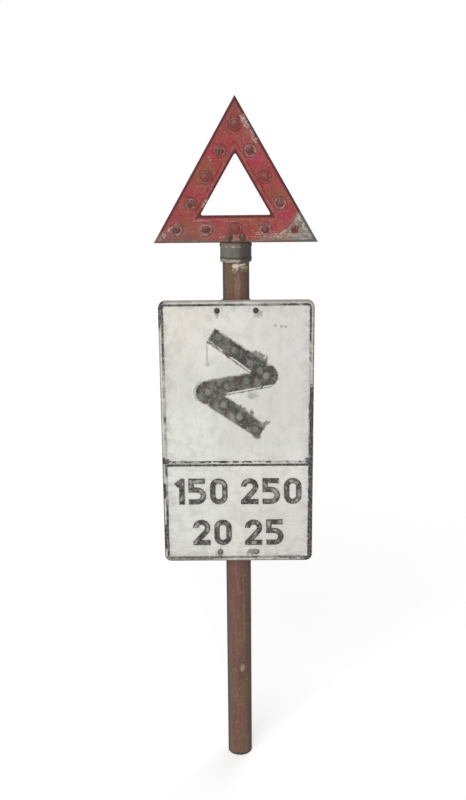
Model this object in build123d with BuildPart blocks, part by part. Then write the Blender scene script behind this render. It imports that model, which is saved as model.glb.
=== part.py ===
from build123d import *
from math import acos, degrees, sqrt
import os

# Double bend warning sign: a reflector triangle and a cast plate on a tubular post.
# Millimetres. The origin is the centre of the post's foot, +Z is up and the sign faces -Y.

# Post, a steel tube
post_radius = 38.05
post_wall = 3.65
post_height = 1646
foot_chamfer = 1.0

# Clearances: a clamp that can turn on the post, a loose piece in its seat, a bolt in its hole
turning_gap = 0.05
seat_gap = 0.1
bolt_gap = 0.4

# Finial socket, a casting that caps the post
socket_bottom = 1599
socket_top = 1654
socket_lip_radius = 45.5
socket_lip_top = 1612
socket_lip_bevel = 3.5
socket_body_radius = 44.5
socket_bead_bottom = 1641
socket_bead_top = 1652
socket_bead_rise = 2
socket_cap_radius = 43

# Tongue on the socket, behind the triangle's base bar
tongue_width = 72
tongue_thickness = 10
tongue_height = 34
tongue_corner = 12
tongue_root = 3

# Set screws at the back of the socket, square heads outwards
set_screw_radius = 4
set_screw_height = 1630
set_screw_angles = (50, 130)
set_screw_head_width = 10
set_screw_head_height = 7
set_screw_neck = 3

# Warning triangle, an open casting
triangle_side = 463.5
triangle_bar = 76.2
triangle_panel = 5
triangle_flange_depth = 8
triangle_flange = 6
triangle_bevel = 4
triangle_opening_corner = 4
triangle_boss_radius = 13
triangle_bolt_spacing = 37
triangle_bolt_rise = 17
reflectors_per_bar = 4

# Sign plate, a casting with raised border, divider and symbol
plate_width = 444.5
plate_height = 800
plate_bottom = 695
plate_corner = 20
plate_panel = 5
plate_flange_depth = 10
plate_flange = 6
bead_width = 14
bead_round = 1.4
relief = 3
divider_height = 1006.5
window_corner = 9
rib_thickness = 6
rib_spacing = 250
plate_bolt_spacing = 110
plate_bolt_inset = 28
plate_pad_width = 150

# Double-bend symbol, measured from its own centre and the same after half a turn
symbol_height = 1251.5
symbol_bevel = 1
nose_centre = Vector(84, 23.5)
nose_radius = 34
arm_end_high = Vector(-60.5, 163.5)
arm_end_low = Vector(-82.5, 127)
notch = Vector(38.5, 33)
arm_end_reflector = Vector(-52, 138.5)
gaps_per_arm = 3

# Reflectors: a bevelled glass lens in a spun cup, in a raised collar of the casting
lens_radius = 11
lens_depth = 8
lens_bevel = 3
lens_rise = 1.8
cup_wall = 0.9
cup_floor = 1
triangle_collar_radius = 17
triangle_collar_height = 2.5
symbol_collar_radius = 15
symbol_collar_height = 1.5

# Clips, straps that saddle the post behind the plate
strap_thickness = 5
strap_width = 40
strap_bend = 4.5
strap_ear_corner = 8
clip_pinch = 5
ear_reach = 70

# Bolts, washers and nuts: domed heads on the plate, hexagon heads on the triangle
bolt_radius = 4.76
dome_head_radius = 8
dome_head_edge = 1.5
dome_head_height = 5.5
hexagon_head_height = 6
bolt_tail = 4
washer_radius = 9.5
washer_thickness = 2
nut_flats = 18
nut_height = 8

# Worked out from the above: heights
triangle_centre = socket_top + triangle_side / (2 * sqrt(3))
triangle_bolt_height = socket_top + triangle_bolt_rise
plate_top = plate_bottom + plate_height
plate_centre = plate_bottom + plate_height / 2
clip_heights = {"upper": plate_top - plate_bolt_inset, "lower": plate_bottom + plate_bolt_inset}

# Worked out from the above: depths, from back to front
triangle_back = -tongue_thickness / 2
triangle_panel_back = triangle_back - triangle_flange_depth
triangle_front = triangle_panel_back - triangle_panel
plate_back = -(post_radius + turning_gap)
plate_panel_back = plate_back - plate_flange_depth
plate_front = plate_panel_back - plate_panel
ear_front = plate_back + clip_pinch
ear_back = ear_front + strap_thickness

# Worked out from the above: the reflectors' seats
cup_inner_radius = lens_radius + seat_gap
cup_radius = cup_inner_radius + cup_wall
cup_hole_radius = cup_radius + seat_gap
cup_depth = lens_depth + cup_floor
bolt_hole_radius = bolt_radius + bolt_gap


def facing(x, y, z):
    """A plane at a point of the sign that looks to the front, with its own Y up."""
    return Plane(origin=(x, y, z), x_dir=(1, 0, 0), z_dir=(0, -1, 0))


def tangent_point(start, centre, radius, side):
    """Where a line from start touches a circle, on the side given as 1 or -1."""
    reach = start - centre
    turn = degrees(acos(radius / reach.length))
    return centre + reach.normalized().rotate(Axis.Z, side * turn) * radius


def triangle_spots():
    """The reflectors' places on each bar of the triangle, from its own centre."""
    middle_circle = triangle_side / sqrt(3) - triangle_bar
    corners = [Vector(0, middle_circle).rotate(Axis.Z, turn) for turn in (120, 240, 360)]
    spots = {}
    for bar, start, end in zip(("base", "right", "left"), corners, corners[1:] + corners[:1]):
        steps = [step / reflectors_per_bar for step in range(reflectors_per_bar)]
        spots[bar] = [start + (end - start) * step for step in steps]
    return spots


def symbol_spots():
    """The reflectors' places along the symbol's two arms and its link, from its own centre."""
    along_arm = (nose_centre - arm_end_reflector) / gaps_per_arm
    along_link = nose_centre * 2 / gaps_per_arm
    upper_arm = [arm_end_reflector + along_arm * step for step in range(gaps_per_arm)]
    link = [nose_centre - along_link * step for step in range(gaps_per_arm + 1)]
    lower_arm = [spot * -1 for spot in reversed(upper_arm)]
    return {"upper_arm": upper_arm, "link": link, "lower_arm": lower_arm}


triangle_places = triangle_spots()
symbol_places = symbol_spots()
all_triangle_places = [spot for bar in triangle_places.values() for spot in bar]
all_symbol_places = [spot for arm in symbol_places.values() for spot in arm]
clip_sides = (-plate_bolt_spacing / 2, plate_bolt_spacing / 2)
triangle_bolt_sides = (-triangle_bolt_spacing / 2, triangle_bolt_spacing / 2)

os.makedirs("parts", exist_ok=True)


def keep(piece, name):
    """Label a finished piece and write it as the node of that name."""
    piece.part.label = name
    export_step(piece.part, f"parts/{name}.step")


# Post
with BuildPart() as post:
    with BuildSketch():
        Circle(post_radius)
        Circle(post_radius - post_wall, mode=Mode.SUBTRACT)
    extrude(amount=post_height)
    foot_edge = post.edges().group_by(Axis.Z)[0].sort_by(SortBy.RADIUS)[-1]
    chamfer(foot_edge, length=foot_chamfer)
keep(post, "post")


# Finial socket: a turned cap with a lip, a plain body and a bead, and the tongue on top
with BuildPart() as finial_socket:
    with BuildSketch(Plane.XZ):
        with BuildLine():
            bore_radius = post_radius + turning_gap
            lip_foot = (socket_lip_radius - socket_lip_bevel, socket_bottom)
            lip_side = (socket_lip_radius, socket_bottom + socket_lip_bevel)
            bead_foot = (socket_body_radius, socket_bead_bottom)
            bead_head = (socket_body_radius, socket_bead_top)
            Polyline((0, socket_top), (0, post_height), (bore_radius, post_height),
                     (bore_radius, socket_bottom), lip_foot, lip_side,
                     (socket_lip_radius, socket_lip_top), (socket_body_radius, socket_lip_top), bead_foot)
            SagittaArc(bead_foot, bead_head, -socket_bead_rise)
            Polyline(bead_head, (socket_cap_radius, socket_top), (0, socket_top))
        make_face()
    revolve(axis=Axis.Z)
    with BuildSketch(facing(0, tongue_thickness / 2, socket_top)) as tongue:
        Rectangle(tongue_width, tongue_height, align=(Align.CENTER, Align.MIN))
        fillet(tongue.vertices().group_by(Axis.Y)[-1], tongue_corner)
    extrude(amount=tongue_thickness)
    root_edge = finial_socket.edges().filter_by(Axis.X).group_by(Axis.Z)[0].sort_by(Axis.Y)[-1]
    fillet(root_edge, tongue_root)
    for side in triangle_bolt_sides:
        with BuildSketch(facing(side, 0, triangle_bolt_height)):
            Circle(bolt_hole_radius)
        extrude(amount=tongue_thickness, both=True, mode=Mode.SUBTRACT)
    for angle in set_screw_angles:
        outwards = Vector(1, 0, 0).rotate(Axis.Z, angle)
        with BuildSketch(Plane(origin=(0, 0, set_screw_height), z_dir=outwards)):
            Circle(set_screw_radius + seat_gap)
        extrude(amount=socket_lip_radius, mode=Mode.SUBTRACT)
keep(finial_socket, "finial_socket")


# Set screws: each has its tip on the post and a square head outside the socket
with BuildPart() as socket_set_screws:
    for angle in set_screw_angles:
        outwards = Vector(1, 0, 0).rotate(Axis.Z, angle)
        tip = outwards * (post_radius + turning_gap) + Vector(0, 0, set_screw_height)
        neck = outwards * (socket_body_radius + set_screw_neck) + Vector(0, 0, set_screw_height)
        with BuildSketch(Plane(origin=tip, z_dir=outwards)):
            Circle(set_screw_radius)
        extrude(amount=(neck - tip).length)
        with BuildSketch(Plane(origin=neck, z_dir=outwards)):
            Rectangle(set_screw_head_width, set_screw_head_width)
        extrude(amount=set_screw_head_height)
keep(socket_set_screws, "socket_set_screws")


# Warning triangle: a bevelled open frame, hollow behind, with a collar round each reflector
with BuildPart() as warning_triangle:
    outer_circle = triangle_side / sqrt(3)
    bar_circle = 2 * triangle_bar
    with BuildSketch(facing(0, triangle_back, triangle_centre)):
        RegularPolygon(outer_circle, 3, rotation=90)
    extrude(amount=triangle_flange_depth + triangle_panel)
    with BuildSketch(facing(0, triangle_back, triangle_centre)) as opening:
        RegularPolygon(outer_circle - bar_circle, 3, rotation=90)
        fillet(opening.vertices(), triangle_opening_corner)
    extrude(amount=triangle_flange_depth + triangle_panel, mode=Mode.SUBTRACT)
    chamfer(warning_triangle.faces().sort_by(Axis.Y)[0].edges(), length=triangle_bevel)
    with BuildSketch(facing(0, triangle_back, triangle_centre)):
        RegularPolygon(outer_circle - 2 * triangle_flange, 3, rotation=90)
        RegularPolygon(outer_circle - bar_circle + 2 * triangle_flange, 3, rotation=90, mode=Mode.SUBTRACT)
    extrude(amount=triangle_flange_depth, mode=Mode.SUBTRACT)
    for side in triangle_bolt_sides:
        with BuildSketch(facing(side, triangle_back, triangle_bolt_height)):
            Circle(triangle_boss_radius)
        extrude(amount=triangle_flange_depth)
        with BuildSketch(facing(side, triangle_back, triangle_bolt_height)):
            Circle(bolt_hole_radius)
        extrude(amount=triangle_flange_depth + triangle_panel, mode=Mode.SUBTRACT)
    with BuildSketch(facing(0, triangle_front, triangle_centre)):
        with Locations(*all_triangle_places):
            Circle(triangle_collar_radius)
    extrude(amount=triangle_collar_height)
    with BuildSketch(facing(0, triangle_panel_back, triangle_centre)):
        with Locations(*all_triangle_places):
            Circle(cup_hole_radius)
    extrude(amount=triangle_panel + triangle_collar_height, mode=Mode.SUBTRACT)
keep(warning_triangle, "warning_triangle")


# Sign plate: a panel with a flange, pads and ribs behind, and beads and symbol in relief
with BuildPart() as sign_plate:
    with BuildSketch(facing(0, plate_back, plate_centre)):
        RectangleRounded(plate_width, plate_height, plate_corner)
    extrude(amount=plate_flange_depth + plate_panel)
    with BuildSketch(facing(0, plate_back, plate_centre)):
        hollow_corner = plate_corner - plate_flange
        RectangleRounded(plate_width - 2 * plate_flange, plate_height - 2 * plate_flange, hollow_corner)
        with GridLocations(rib_spacing, 1, 2, 1):
            Rectangle(rib_thickness, plate_height, mode=Mode.SUBTRACT)
        with Locations((0, divider_height - plate_centre)):
            Rectangle(plate_width, rib_thickness, mode=Mode.SUBTRACT)
        with GridLocations(1, plate_height - 2 * plate_bolt_inset, 1, 2):
            Rectangle(plate_pad_width, 2 * plate_bolt_inset, mode=Mode.SUBTRACT)
    extrude(amount=plate_flange_depth, mode=Mode.SUBTRACT)
    with BuildSketch(facing(0, plate_front, 0)):
        with Locations((0, plate_centre)):
            RectangleRounded(plate_width, plate_height, plate_corner)
        window_edges = (plate_bottom + bead_width, divider_height - bead_width / 2,
                        divider_height + bead_width / 2, plate_top - bead_width)
        for low, high in (window_edges[:2], window_edges[2:]):
            with Locations((0, (low + high) / 2)):
                RectangleRounded(plate_width - 2 * bead_width, high - low, window_corner, mode=Mode.SUBTRACT)
    extrude(amount=relief)
    fillet(sign_plate.faces().sort_by(Axis.Y)[0].edges(), bead_round)
    with BuildSketch(facing(0, plate_front, symbol_height)):
        with BuildLine():
            nose_start = tangent_point(arm_end_high, nose_centre, nose_radius, -1)
            nose_finish = tangent_point(notch * -1, nose_centre, nose_radius, 1)
            nose_way = ((nose_start + nose_finish) / 2 - nose_centre).normalized()
            nose_tip = nose_centre + nose_way * nose_radius
            for turn in (1, -1):
                Polyline(arm_end_low * turn, arm_end_high * turn, nose_start * turn)
                ThreePointArc(nose_start * turn, nose_tip * turn, nose_finish * turn)
                Polyline(nose_finish * turn, notch * -turn, arm_end_low * -turn)
        make_face()
    extrude(amount=relief)
    chamfer(sign_plate.faces(Select.LAST).sort_by(Axis.Y)[0].edges(), length=symbol_bevel)
    with BuildSketch(facing(0, plate_front - relief, symbol_height)):
        with Locations(*all_symbol_places):
            Circle(symbol_collar_radius)
    extrude(amount=symbol_collar_height)
    with BuildSketch(facing(0, plate_panel_back, symbol_height)):
        with Locations(*all_symbol_places):
            Circle(cup_hole_radius)
    extrude(amount=plate_panel + relief + symbol_collar_height, mode=Mode.SUBTRACT)
    with BuildSketch(facing(0, plate_back, plate_centre)):
        with GridLocations(plate_bolt_spacing, plate_height - 2 * plate_bolt_inset, 2, 2):
            Circle(bolt_hole_radius)
    extrude(amount=plate_flange_depth + plate_panel, mode=Mode.SUBTRACT)
keep(sign_plate, "sign_plate")


# One lens, front up, with its flat back at the origin
with BuildPart() as lens:
    with BuildSketch():
        Circle(lens_radius)
    extrude(amount=lens_depth + lens_rise)
    front_edge = lens.edges().group_by(Axis.Z)[-1]
    chamfer(front_edge, length=lens_rise, length2=lens_bevel)

# One cup, open to the front, with the outside of its floor at the origin
with BuildPart() as cup:
    with BuildSketch():
        Circle(cup_radius)
    extrude(amount=cup_depth)
    with BuildSketch(Plane.XY.offset(cup_floor)):
        Circle(cup_inner_radius)
    extrude(amount=lens_depth, mode=Mode.SUBTRACT)

# Each lens is a node, and the cups of each casting share one
reflector_sets = (
    ("triangle", triangle_places, triangle_centre, triangle_front - triangle_collar_height),
    ("symbol", symbol_places, symbol_height, plate_front - relief - symbol_collar_height),
)
for casting, places, centre, front in reflector_sets:
    for group, spots in places.items():
        for number, spot in enumerate(spots, start=1):
            with BuildPart() as placed_lens:
                with Locations(facing(spot.X, front + lens_depth, centre + spot.Y)):
                    add(lens.part)
            keep(placed_lens, f"{casting}_{group}_lens_{number}")
    with BuildPart() as cups:
        for spots in places.values():
            with Locations(*[facing(spot.X, front + cup_depth, centre + spot.Y) for spot in spots]):
                add(cup.part)
    keep(cups, f"{casting}_reflector_cups")


# Post clips: a strap round the back of the post with an ear each side
for end, height in clip_heights.items():
    with BuildPart() as clip:
        with BuildSketch(Plane.XY.offset(height - strap_width / 2)):
            with BuildLine():
                leg = post_radius + turning_gap + strap_thickness / 2
                ear_middle = (ear_front + ear_back) / 2
                ThreePointArc((leg, 0), (0, leg), (-leg, 0))
                for side in (1, -1):
                    FilletPolyline((side * leg, 0), (side * leg, ear_middle), (side * ear_reach, ear_middle),
                                   radius=strap_bend)
            trace(line_width=strap_thickness)
        extrude(amount=strap_width)
        ear_edges = clip.edges().filter_by(Axis.Y)
        fillet(ear_edges.group_by(Axis.X)[0] + ear_edges.group_by(Axis.X)[-1], strap_ear_corner)
        for side in clip_sides:
            with BuildSketch(facing(side, ear_back, height)):
                Circle(bolt_hole_radius)
            extrude(amount=strap_thickness, mode=Mode.SUBTRACT)
    keep(clip, f"{end}_post_clip")


def domed_bolt(length):
    """A bolt with a domed head, head up, with the underside of its head at the origin."""
    with BuildPart() as bolt:
        with BuildSketch(Plane.XZ):
            with BuildLine():
                dome = dome_head_height - dome_head_edge
                crown = (0, dome_head_height)
                rim = (dome_head_radius, dome_head_edge)
                Polyline(crown, (0, -length), (bolt_radius, -length), (bolt_radius, 0),
                         (dome_head_radius, 0), rim)
                RadiusArc(crown, rim, (dome_head_radius ** 2 + dome ** 2) / (2 * dome))
            make_face()
        revolve(axis=Axis.Z)
    return bolt


def hexagon_bolt(length):
    """A bolt with a hexagon head, head up, with the underside of its head at the origin."""
    with BuildPart() as bolt:
        with BuildSketch():
            RegularPolygon(nut_flats / 2, 6, major_radius=False)
        extrude(amount=hexagon_head_height)
        with BuildSketch():
            Circle(bolt_radius)
        extrude(amount=-length)
    return bolt


# One washer and one nut, each lying on the origin
with BuildPart() as washer:
    with BuildSketch():
        Circle(washer_radius)
        Circle(bolt_hole_radius, mode=Mode.SUBTRACT)
    extrude(amount=washer_thickness)

with BuildPart() as nut:
    with BuildSketch():
        RegularPolygon(nut_flats / 2, 6, major_radius=False)
        Circle(bolt_radius + seat_gap, mode=Mode.SUBTRACT)
    extrude(amount=nut_height)


def fasten(name, bolt_kind, sides, height, front, back):
    """Bolts from front to back at each side, with a washer and a nut behind."""
    nut_back = back + washer_thickness + nut_height
    bolt = bolt_kind(nut_back + bolt_tail - front)
    rows = (("bolts", bolt, front), ("washers", washer, back + washer_thickness), ("nuts", nut, nut_back))
    for kind, piece, depth in rows:
        with BuildPart() as fasteners:
            with Locations(*[facing(side, depth, height) for side in sides]):
                add(piece.part)
        keep(fasteners, f"{name}_{kind}")


fasten("triangle", hexagon_bolt, triangle_bolt_sides, triangle_bolt_height,
       triangle_front, tongue_thickness / 2)
for end, height in clip_heights.items():
    fasten(f"{end}_clip", domed_bolt, clip_sides, height, plate_front, ear_back)
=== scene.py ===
# %% [markdown]
# # A weathered warning sign
# The sign is a cast triangle and a cast plate on a tube, painted many times and left outdoors for
# decades. Its castings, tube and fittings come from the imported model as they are. This lesson adds
# what a casting drawing leaves out: the paint and its wear, the glass, the numerals and the threads.

# %% Load the frame
from functools import reduce
from math import acos, asin, atan2, cos, degrees, pi, radians, sin, sqrt, tan
from operator import and_, or_
from statistics import NormalDist

import bmesh
import bpy
from mathutils import Color, Matrix, Vector


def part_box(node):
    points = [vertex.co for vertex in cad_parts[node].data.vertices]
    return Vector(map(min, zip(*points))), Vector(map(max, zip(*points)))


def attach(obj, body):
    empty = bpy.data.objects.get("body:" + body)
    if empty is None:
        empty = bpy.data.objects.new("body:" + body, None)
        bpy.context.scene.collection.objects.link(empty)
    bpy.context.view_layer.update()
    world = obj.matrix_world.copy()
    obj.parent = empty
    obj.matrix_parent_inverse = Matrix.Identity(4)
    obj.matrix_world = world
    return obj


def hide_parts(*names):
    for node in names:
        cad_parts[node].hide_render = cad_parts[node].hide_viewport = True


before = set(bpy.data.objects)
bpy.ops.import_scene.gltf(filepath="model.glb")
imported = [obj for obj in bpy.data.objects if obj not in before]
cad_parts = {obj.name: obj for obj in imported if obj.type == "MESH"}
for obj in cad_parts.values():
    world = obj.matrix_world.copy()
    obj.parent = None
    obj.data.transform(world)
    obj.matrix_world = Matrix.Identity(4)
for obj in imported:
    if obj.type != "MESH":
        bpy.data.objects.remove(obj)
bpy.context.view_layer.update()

# %% [markdown]
# ## The camera
# The photograph looks down on the sign from a little above a tall person's head. A camera can be
# turned until the picture looks right, but a fit gives the same place every time: the edges of the
# post, the plate and the triangle in the picture leave room for only one focal length and one place.

# %% Camera
image_height = 800
focal_length_in_pixels = 1093.3
camera_place = Vector((0.0115, -3.0941, 2.1126))
camera_turn = radians(0.44)
camera_tilt = radians(16.66)
camera_roll = radians(-0.58)

camera = bpy.data.objects.new("camera", bpy.data.cameras.new("camera"))
bpy.context.scene.collection.objects.link(camera)
bpy.context.scene.camera = camera
camera.data.sensor_width = 36
camera.data.lens = focal_length_in_pixels / image_height * camera.data.sensor_width
aim = Matrix.Rotation(camera_turn, 4, "Z") @ Matrix.Rotation(pi / 2 - camera_tilt, 4, "X")
camera.matrix_world = Matrix.Translation(camera_place) @ aim @ Matrix.Rotation(camera_roll, 4, "Z")
print("camera: lens", round(camera.data.lens, 1), "mm")

# %% [markdown]
# ## The lamps
# The photograph has one broad soft light, in front of the sign, above it and a little to its left. An
# area lamp would do, but its light falls off over the two metres of the sign. A sun lamp lights it
# evenly from head to foot, and a wide angle makes its shadows as soft as those of a big window. A
# weaker lamp behind the sign leaves the front as it is, and shows the ribs and nuts to who walks round.

# %% Two sun lamps
lamp_spread = radians(50)
lamps = {"key_light": (2.1, Vector((-0.3, -1.0, 0.5))), "back_light": (1.0, Vector((0.5, 1.0, 0.5)))}

for name, (strength, comes_from) in lamps.items():
    lamp = bpy.data.objects.new(name, bpy.data.lights.new(name, "SUN"))
    lamp.data.energy = strength
    lamp.data.angle = lamp_spread
    lamp.rotation_euler = comes_from.to_track_quat("Z", "Y").to_euler()
    bpy.context.scene.collection.objects.link(lamp)
    print(name, "of", strength, "from", tuple(comes_from))
bpy.context.scene.view_settings.view_transform = "Standard"

# %% [markdown]
# ## Graphs written as sums
# A finish is a graph of shader nodes, and a graph of fifty nodes is hard to read back. It could be
# dragged together by hand or listed link by link. Here two small classes let it be written as a sum:
# a Signal is the output of one node, and adding or multiplying signals adds the next node to the Graph.
# The sign | keeps the larger of two signals and & the smaller. For two masks that is either and both.

# %% Signals
band_core = 0.4


def joined_by(operation):
    """A method that joins a signal to another, or to a number, by one Math node."""
    def join(self, other):
        return self.graph.math(operation, self, other)
    return join


class Signal:
    """A value that varies over a surface: the output of one shader node."""

    __add__ = __radd__ = joined_by("ADD")
    __mul__ = __rmul__ = joined_by("MULTIPLY")
    __sub__ = joined_by("SUBTRACT")
    __or__ = joined_by("MAXIMUM")
    __and__ = joined_by("MINIMUM")

    def __init__(self, graph, socket):
        self.graph = graph
        self.socket = socket

    def __rsub__(self, other):
        return self.graph.math("SUBTRACT", other, self)

    def __abs__(self):
        return self.graph.math("ABSOLUTE", self)

    def fade(self, start, end):
        """Nought up to start and one from end on. With end below start, the other way round."""
        limits = {"Value": self, "From Min": start, "From Max": end}
        return self.graph.node("MapRange", limits, interpolation_type="SMOOTHSTEP")

    def band(self, middle, half_width):
        """One at the core of a band and nought beyond its half width."""
        return abs(self - middle).fade(half_width, half_width * band_core)


class Graph:
    """The shader nodes of a material or a world."""

    def __init__(self, owner, shader):
        owner.use_nodes = True
        self.tree = owner.node_tree
        self.shader = self.tree.nodes[shader]

    def node(self, kind, inputs, output=0, **settings):
        """Add a node of that kind, feed its inputs and give back one of its outputs."""
        made = self.tree.nodes.new("ShaderNode" + kind)
        for name, value in settings.items():
            setattr(made, name, value)
        self.feed(made, inputs)
        return Signal(self, made.outputs[output])

    def feed(self, node, inputs):
        """Link signals to the inputs of a node, or set plain values on them."""
        for key, value in inputs.items():
            if isinstance(value, Signal):
                self.tree.links.new(value.socket, node.inputs[key])
            else:
                node.inputs[key].default_value = value

    def math(self, operation, first, second=0.0):
        return self.node("Math", {0: first, 1: second}, operation=operation)


print("a Signal can be joined by + - * | and &, and shaped by fade and band")

# %% [markdown]
# ## The studio
# The floor and the world are white to the camera and to anything shiny, which the Light Path node
# can tell apart from the light that falls on the sign. So the background stays white while the sign
# is lit at a plain level, and the floor, which is partly a lit surface, still shows a soft shadow.

# %% World and floor
ambient_level = 0.3
floor_reach = 60.0
floor_shade = 0.8
floor_glow = 0.45


def strength_by_ray(graph, lighting, seen):
    """One strength for rays that only carry light, and another for camera, mirror and glass rays."""
    rays = graph.node("LightPath", {}).socket.node.outputs
    direct = [Signal(graph, rays[f"Is {kind} Ray"]) for kind in ("Camera", "Glossy", "Transmission")]
    return graph.node("MapRange", {"Value": reduce(or_, direct), "To Min": lighting, "To Max": seen})


world = bpy.data.worlds.new("studio")
bpy.context.scene.world = world
sky = Graph(world, "Background")
sky.feed(sky.shader, {"Color": (1, 1, 1, 1), "Strength": strength_by_ray(sky, ambient_level, 1.0)})

floor_mesh = bmesh.new()
bmesh.ops.create_grid(floor_mesh, x_segments=1, y_segments=1, size=floor_reach)
floor = bpy.data.objects.new("floor", bpy.data.meshes.new("floor"))
floor_mesh.to_mesh(floor.data)
floor_mesh.free()
bpy.context.scene.collection.objects.link(floor)

floor_paint = bpy.data.materials.new("floor_paint")
floor_graph = Graph(floor_paint, "Principled BSDF")
floor_graph.feed(floor_graph.shader, {
    "Base Color": (floor_shade, floor_shade, floor_shade, 1), "Roughness": 1.0, "Specular IOR Level": 0.0,
    "Emission Color": (1, 1, 1, 1), "Emission Strength": strength_by_ray(floor_graph, 0.0, floor_glow)})
floor.data.materials.append(floor_paint)
print("floor and world: white to the camera,", ambient_level, "as light")

# %% [markdown]
# ## Finishes
# A Finish is the graph of one material. It measures the surface in millimetres from the sign's own
# origin, so a stain can be written down where it was measured. Noise makes what repeats without
# pattern, and an oval or a line makes what has a place: a chip, a scratch, the edge of a coat of paint.
# The values of Blender's noise spread round a half like a bell curve, so the share of the surface that
# its spots cover can be chosen: the curve says at which value to cut. Spots take three numbers, their
# size, that share and a shift to a fresh part of the noise. The colours go on last, in layers, as a
# painter lays them. Each has an amount, which is a signal, and a colour in screen values.

# %% Finishes
millimetres = 1000.0
flattened = 1e9
noise_values = NormalDist(0.5, 0.12)
raggedness = 3.5
paint_gloss = 0.2


def tone(colour):
    """A colour in 8-bit screen values, as the shader takes it. A signal passes unchanged."""
    if isinstance(colour, Signal):
        return colour
    return (*Color([value / 255 for value in colour]).from_srgb_to_scene_linear(), 1.0)


class Finish(Graph):
    """A material in the making. Places on the surface are in millimetres."""

    def __init__(self, name):
        self.material = bpy.data.materials.new(name)
        super().__init__(self.material, "Principled BSDF")
        self.feed(self.shader, {"Specular IOR Level": paint_gloss})
        place = self.node("TexCoord", {}, "Object")
        self.place = self.node("VectorMath", {0: place, "Scale": millimetres}, operation="SCALE")
        axes = self.node("SeparateXYZ", {0: self.place}).socket.node.outputs
        self.x, self.y, self.z = (Signal(self, axis) for axis in axes)

    def layers(self, colour, *coats):
        """Lay coats over a first colour, one after another. Each is an amount and a colour."""
        for amount, over in coats:
            colour = self.node("Mix", {0: amount, 6: tone(colour), 7: tone(over)}, 2, data_type="RGBA")
        return colour

    def noise(self, size, shift, stretch=(1, 1, 1), detail=4.0, roughness=0.6):
        """Clouds from nought to one, about size millimetres across. A shift picks other clouds."""
        scale = [1 / (size * along) for along in stretch]
        spot = self.node("Mapping", {0: self.place, "Location": [shift] * 3, "Scale": scale})
        return self.node("TexNoise", {0: spot, "Scale": 1.0, "Detail": detail, "Roughness": roughness})

    def grain(self, size, shift):
        """Clouds with the finest detail, for rough paint."""
        return self.noise(size, shift, detail=6.0, roughness=0.7)

    def ragged(self, size, shift):
        """An uneven signal round nought, which moves the edges of patches in and out."""
        return (self.grain(size, shift) - noise_values.mean) * raggedness

    def spots(self, size, share, shift, soft=0.05, **shape):
        """Ragged spots of about that size, which cover a share of the surface."""
        limit = noise_values.inv_cdf(1 - share)
        return self.noise(size, shift, **shape).fade(limit - soft, limit + soft)

    def reach(self, x, z, wide=1.0, high=1.0, lean=0):
        """How far a place on the front lies from x and z, in half sizes of an oval that leans by degrees."""
        oval = {0: self.place, "Location": (x, 0, z), "Rotation": (0, radians(-lean), 0)}
        spot = self.node("Mapping", {**oval, "Scale": (wide, flattened, high)}, vector_type="TEXTURE")
        return self.node("VectorMath", {0: spot}, "Value", operation="LENGTH")

    def near(self, *ovals):
        """The reach of the nearest of some ovals."""
        return reduce(and_, (self.reach(*oval) for oval in ovals))

    def patches(self, ragged, *ovals, edge=(1.15, 0.85)):
        """One inside ovals on the front and nought outside, fading over their edge, which ragged moves."""
        return (self.near(*ovals) + ragged).fade(*edge)

    def beyond(self, start, end):
        """How far a place lies to the right of the way from start to end, less than nought on its left."""
        way = (Vector(end) - Vector(start)).normalized()
        right = Vector((way.y, 0, -way.x))
        along = self.node("VectorMath", {0: self.place, 1: right}, "Value", operation="DOT_PRODUCT")
        return along - (right.x * start[0] + right.z * start[1])

    def apply(self, colour, roughness, height, depth):
        """Send the results to the shader. Height is a relief of at most depth millimetres."""
        relief = {"Height": height, "Distance": depth / millimetres, "Strength": 1.0}
        bump = self.node("Bump", relief)
        self.feed(self.shader, {"Base Color": colour, "Roughness": roughness, "Normal": bump})
        return self.material


def box_of(name):
    """The lowest and the highest corner of a CAD node, in millimetres."""
    return [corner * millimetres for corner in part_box(name)]


def dress(material, *names):
    """Give a finished material to CAD nodes."""
    for name in names:
        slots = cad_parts[name].data.materials
        slots.clear()
        slots.append(material)
    print(material.name, "of", len(material.node_tree.nodes), "shader nodes on", *names)


print("spots over a tenth of a surface are cut at", round(noise_values.inv_cdf(0.9), 2))
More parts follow.
